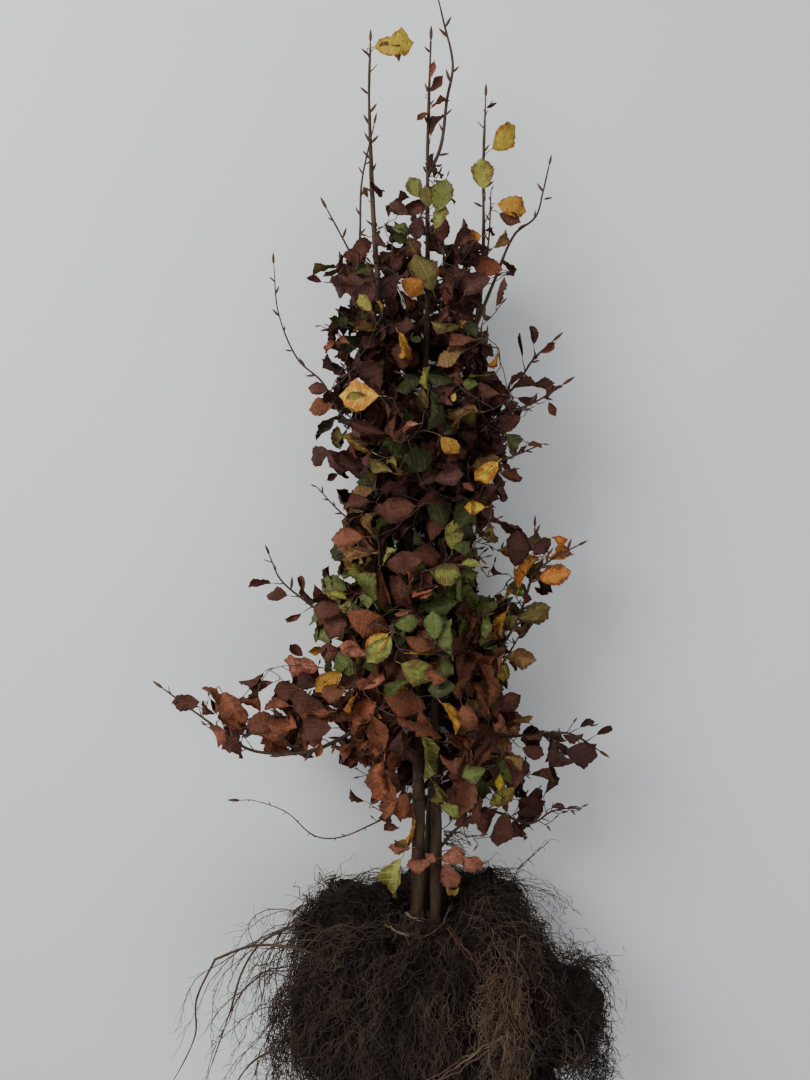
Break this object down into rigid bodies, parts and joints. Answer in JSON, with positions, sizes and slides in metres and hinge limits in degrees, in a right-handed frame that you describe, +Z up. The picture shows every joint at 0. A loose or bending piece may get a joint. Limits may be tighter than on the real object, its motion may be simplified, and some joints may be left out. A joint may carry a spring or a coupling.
{
  "type": "bare-root copper beech tree",
  "caption": "Young copper beech clump lifted with bare roots, lying down: slim stems, leafy autumn crown with bare leader tips, and a wide tangle of fibrous roots.",
  "frame": {"origin": "centre of the bounding box's bottom face, on the floor under the plant as it lies", "axes": "+Y along the stems from the roots to the leader tips, +Z up from the floor to the side that faces the viewer, +X to the right of that side"},
  "size_m": [0.6755, 1.648, 0.3148],
  "materials": {
    "bark": "smooth grey-brown bark with fine cross lenticels, matte",
    "young_bark": "red-brown young twig bark, slightly satin",
    "root_bark": "brown root bark with dry soil on it, matte",
    "root_tangle": "very dark fibrous roots, matte",
    "leaf_purple": "dark purple-brown leaf, slightly satin",
    "leaf_copper": "copper-brown dry leaf, matte",
    "leaf_gold": "golden yellow to orange autumn leaf, matte",
    "leaf_green": "olive to yellow-green leaf, slightly satin"
  },
  "bodies": {
    "root": {"stem_left": "bark", "stem_right": "bark", "stem_back": "bark", "leader_tall": "young_bark", "leader_twin": "young_bark", "leader_curved": "young_bark", "bough_upper_left": "young_bark", "bough_left_wisp": "young_bark", "bough_mid_left": "young_bark", "bough_low_left": "young_bark", "bough_low_left_reach": "young_bark", "bough_bare_left": "young_bark", "bough_mid_right": "young_bark", "bough_mid_right_side": "young_bark", "bough_low_right": "young_bark", "bough_skirt_right": "young_bark", "bough_upper_right": "young_bark", "bough_right_reach": "young_bark", "root_crown": "root_bark", "root_trail_high": "root_bark", "root_trail_high_tip": "root_bark", "root_trail_mid": "root_bark", "root_trail_low": "root_bark", "foliage_skirt_left": "leaf_copper", "foliage_skirt_right": "leaf_copper", "foliage_low_left": "leaf_copper", "foliage_low_right": "leaf_copper", "foliage_low_front": "leaf_copper", "foliage_low_back": "leaf_copper", "foliage_mid_left": "leaf_green", "foliage_mid_right": "leaf_green", "foliage_mid_front": "leaf_green", "foliage_mid_back": "leaf_green", "foliage_waist_left": "leaf_green", "foliage_waist_right": "leaf_green", "foliage_waist_back": "leaf_green", "foliage_upper_left": "leaf_purple", "foliage_upper_right": "leaf_purple", "foliage_upper_front": "leaf_purple", "foliage_upper_back": "leaf_purple", "foliage_shoulder_left": "leaf_purple", "foliage_shoulder_right": "leaf_purple", "foliage_shoulder_back": "leaf_purple", "foliage_crest_left": "leaf_purple", "foliage_crest_right": "leaf_purple", "foliage_crest_top": "leaf_purple", "foliage_foot": "leaf_copper", "foliage_skirt_tip": "leaf_copper", "foliage_low_left_arm": "leaf_copper", "foliage_low_left_tip": "leaf_copper", "foliage_low_right_tip": "leaf_copper", "foliage_mid_spray": "leaf_gold", "root_mass_left": "root_tangle", "root_mass_left_low": "root_tangle", "root_mass_right": "root_tangle", "root_mass_right_low": "root_tangle", "root_mass_front": "root_tangle", "root_mass_foot": "root_tangle", "root_mass_back": "root_tangle"}
  },
  "joints": []
}
